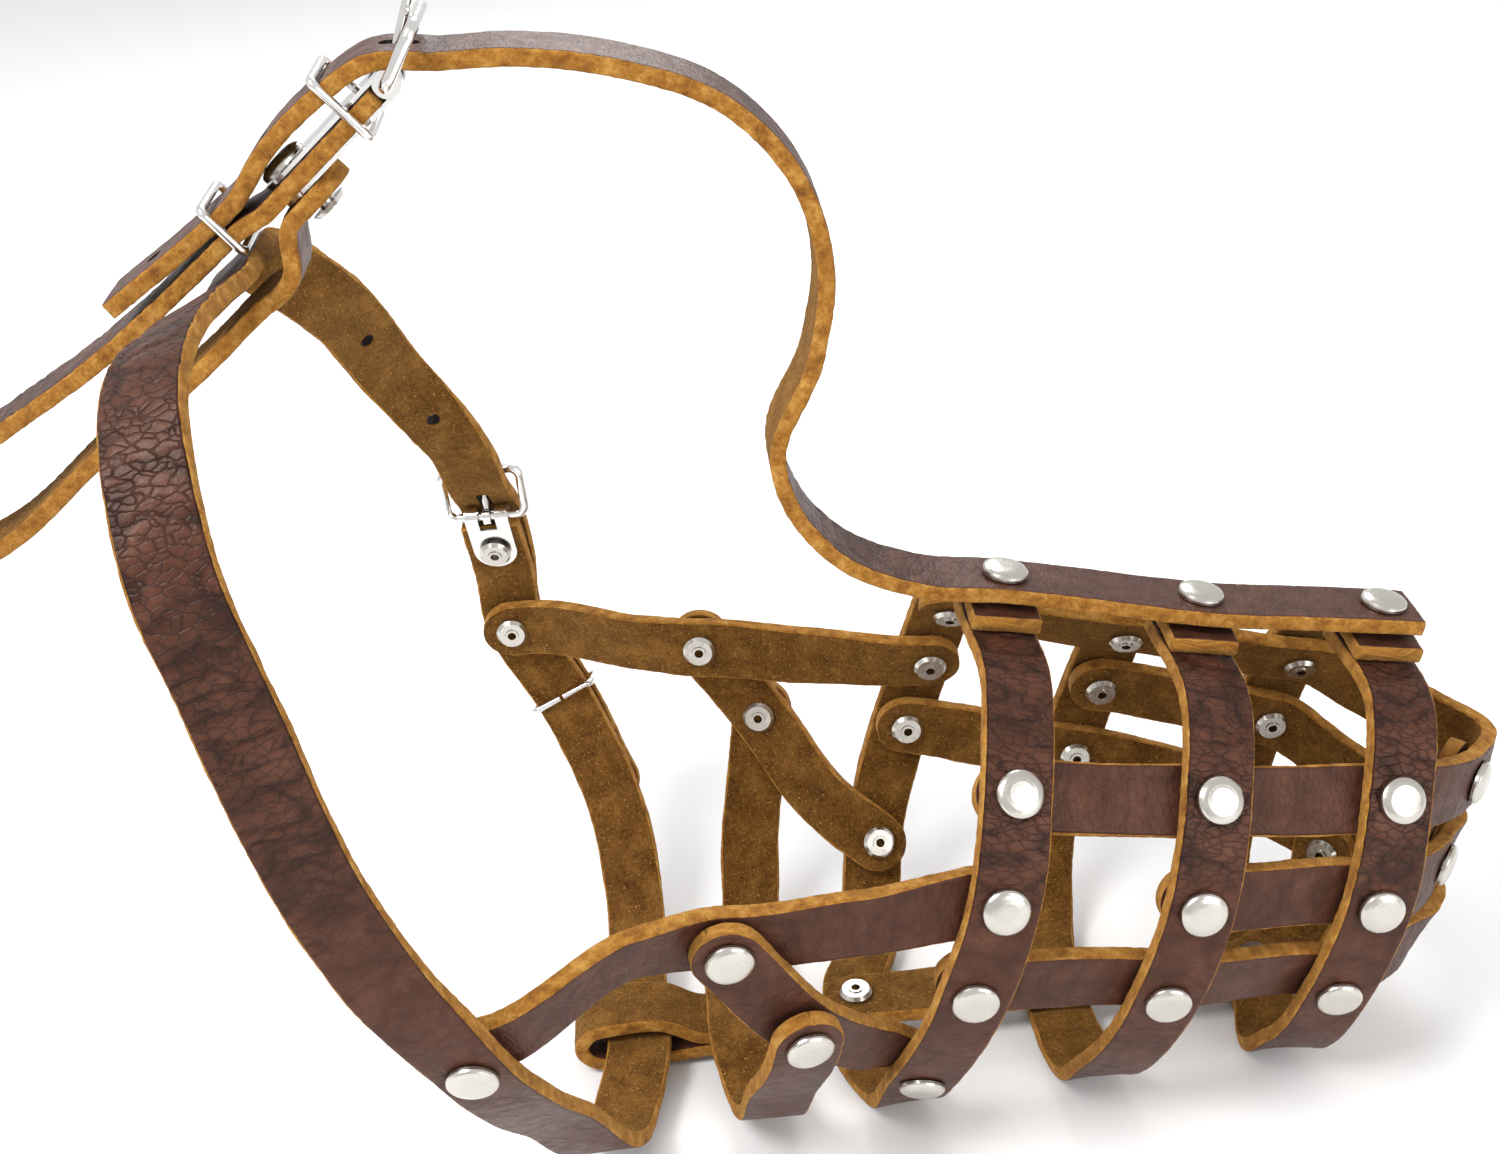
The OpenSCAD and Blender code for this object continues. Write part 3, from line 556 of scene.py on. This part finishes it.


# In the order of the section's zones, then the walls of the punched holes, painted near-black as shade inside
# the holes
LEATHER = [grain_material(), edge_material(), suede_material(), hole_shade_material()]
CAP = metal_material("nickel_satin", (0.60, 0.57, 0.52), 0.20, 0.12)
WIRE = metal_material("nickel_bright", (0.80, 0.79, 0.77), 0.12, 0.10)
for name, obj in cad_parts.items():
    metal = WIRE if any(k in name for k in ("frame", "tongue", "keeper", "buckle")) else CAP
    if any(k in name for k in ("rivet", "washer", "buckle", "keeper")):
        obj.data.materials.clear()
        obj.data.materials.append(metal)


# ---- Straps ----

def worn(lo, hi, top, base=0.10):
    """Deeper creases where the strap is bent hardest, between route parameters lo and hi."""
    def depth(p):
        x = (p - lo) / (hi - lo)
        return base + (top - base) * max(0.0, math.sin(math.pi * min(1, max(0, x)))) ** 0.7
    return depth


def both(near, far):
    return lambda p: max(near(p), far(p))


strap("strap_rear_hoop", "rear_hoop", "basket", rear, 10, False, False,
      both(worn(1, 4.2, 0.32), worn(14, 18, 0.25)))
strap("strap_middle_hoop", "middle_hoop", "basket", middle, 20, False, False,
      both(worn(1, 4.2, 0.34), worn(14, 18, 0.25)))
strap("strap_front_hoop", "front_hoop", "basket", front, 30, False, False,
      both(worn(1, 4.2, 0.34), worn(14, 18, 0.25)))
tongue_hole = [(ring_frame(nose_route, 13, 0.55), 1.6, 2.2), (ring_frame(nose_route, 15, 0.9), 1.6, 0),
               (ring_frame(nose_route, 18, 0.5), 1.6, 0)]
strap("strap_nose", "nose_strap", "basket", nose_route, 40, False, False, worn(3.5, 8.5, 0.2), tongue_hole)
strap("strap_upper_wrap", "upper_wrap", "basket", upper_wrap, 50, crease=worn(3, 7, 0.2))
strap("strap_middle_wrap", "middle_wrap", "basket", middle_wrap, 60, crease=worn(2, 6, 0.2))
strap("strap_lower_wrap", "lower_wrap", "basket", lower_wrap, 70, crease=worn(3, 7, 0.2))
strap("strap_front_bar", "front_bar", "basket", front_bar, 80)
strap("strap_chin", "chin_strap", "basket", chin_strap, 90)
strap("strap_cheek_near", "cheek_strap_near", "basket", cheek, 100)
strap("strap_cheek_far", "cheek_strap_far", "basket", cheek_far, 110)
strap("strap_diagonal_near", "diagonal_strap_near", "basket", diagonal, 120)
strap("strap_diagonal_far", "diagonal_strap_far", "basket", diagonal_far, 130)
strap("strap_throat", "throat_strap", "basket", throat, 140)
strap("strap_throat_loop", "throat_loop", "basket", loop, 150)
holes = ([(ring_frame(collar, 22, 0.58), 1.6, 2.2)]
         + [(ring_frame(collar, i, 0.5), 1.6, 0) for i in (18, 19, 20)])
strap("strap_collar", "collar_strap", "collar", collar, 160, False, True, worn(12, 17.5, 0.42), holes)
strap("strap_head_loop", "head_loop_strap", "basket", head_loop, 170, False, True, worn(6, 12, 0.2))

# ---- Studio ----

bpy.ops.mesh.primitive_plane_add(size=6, location=(0, 0, 0))
floor = bpy.context.object
floor.name = "floor"
m, nt, bsdf = new_material("floor_white")
co = add(nt, "ShaderNodeTexCoord").outputs["Object"]
pale = ramp(nt, noise(nt, co, 3, 2), (0.3, (0.86, 0.86, 0.86)), (0.7, (0.88, 0.88, 0.88)))
nt.links.new(pale, bsdf.inputs["Base Color"])
bsdf.inputs["Roughness"].default_value = 0.7
floor.data.materials.append(m)

world = bpy.data.worlds.new("studio")
bpy.context.scene.world = world
world.use_nodes = True
world.node_tree.nodes["Background"].inputs["Color"].default_value = (1, 1, 1, 1)
world.node_tree.nodes["Background"].inputs["Strength"].default_value = 0.85


def softbox(name, loc, size, power, target=(0, 0, 0.1)):
    light = bpy.data.lights.new(name, "AREA")
    light.shape, light.size, light.energy = "DISK", size, power
    obj = bpy.data.objects.new(name, light)
    obj.location = loc
    obj.rotation_euler = (Vector(target) - Vector(loc)).to_track_quat("-Z", "Y").to_euler()
    bpy.context.collection.objects.link(obj)


softbox("key", (-0.5, -0.35, 0.9), 0.45, 9)
softbox("fill", (0.7, -0.9, 0.5), 0.8, 5)
softbox("back", (0.1, 0.9, 0.8), 0.6, 5)

# ---- Camera ----

azimuth, elevation, roll = math.radians(1.78), math.radians(28.7), math.radians(-4.21)
fwd = Vector((math.sin(azimuth) * math.cos(elevation), math.cos(azimuth) * math.cos(elevation),
              -math.sin(elevation)))
right = Vector((math.cos(azimuth), -math.sin(azimuth), 0))
up = right.cross(fwd)
r = right * math.cos(roll) + up * math.sin(roll)
u = -right * math.sin(roll) + up * math.cos(roll)
cam = bpy.data.cameras.new("camera")
cam.lens, cam.sensor_width, cam.sensor_fit = 44.9, 36, "HORIZONTAL"
cam.clip_start = 0.01
camera = bpy.data.objects.new("camera", cam)
place = (vec(-65.1, -348.9, 319.8) + CENTRE) * 0.001
camera.matrix_world = Matrix(((r.x, u.x, -fwd.x, place[0]), (r.y, u.y, -fwd.y, place[1]),
                              (r.z, u.z, -fwd.z, place[2]), (0, 0, 0, 1)))
bpy.context.collection.objects.link(camera)
bpy.context.scene.camera = camera
bpy.context.scene.view_settings.view_transform = "Standard"
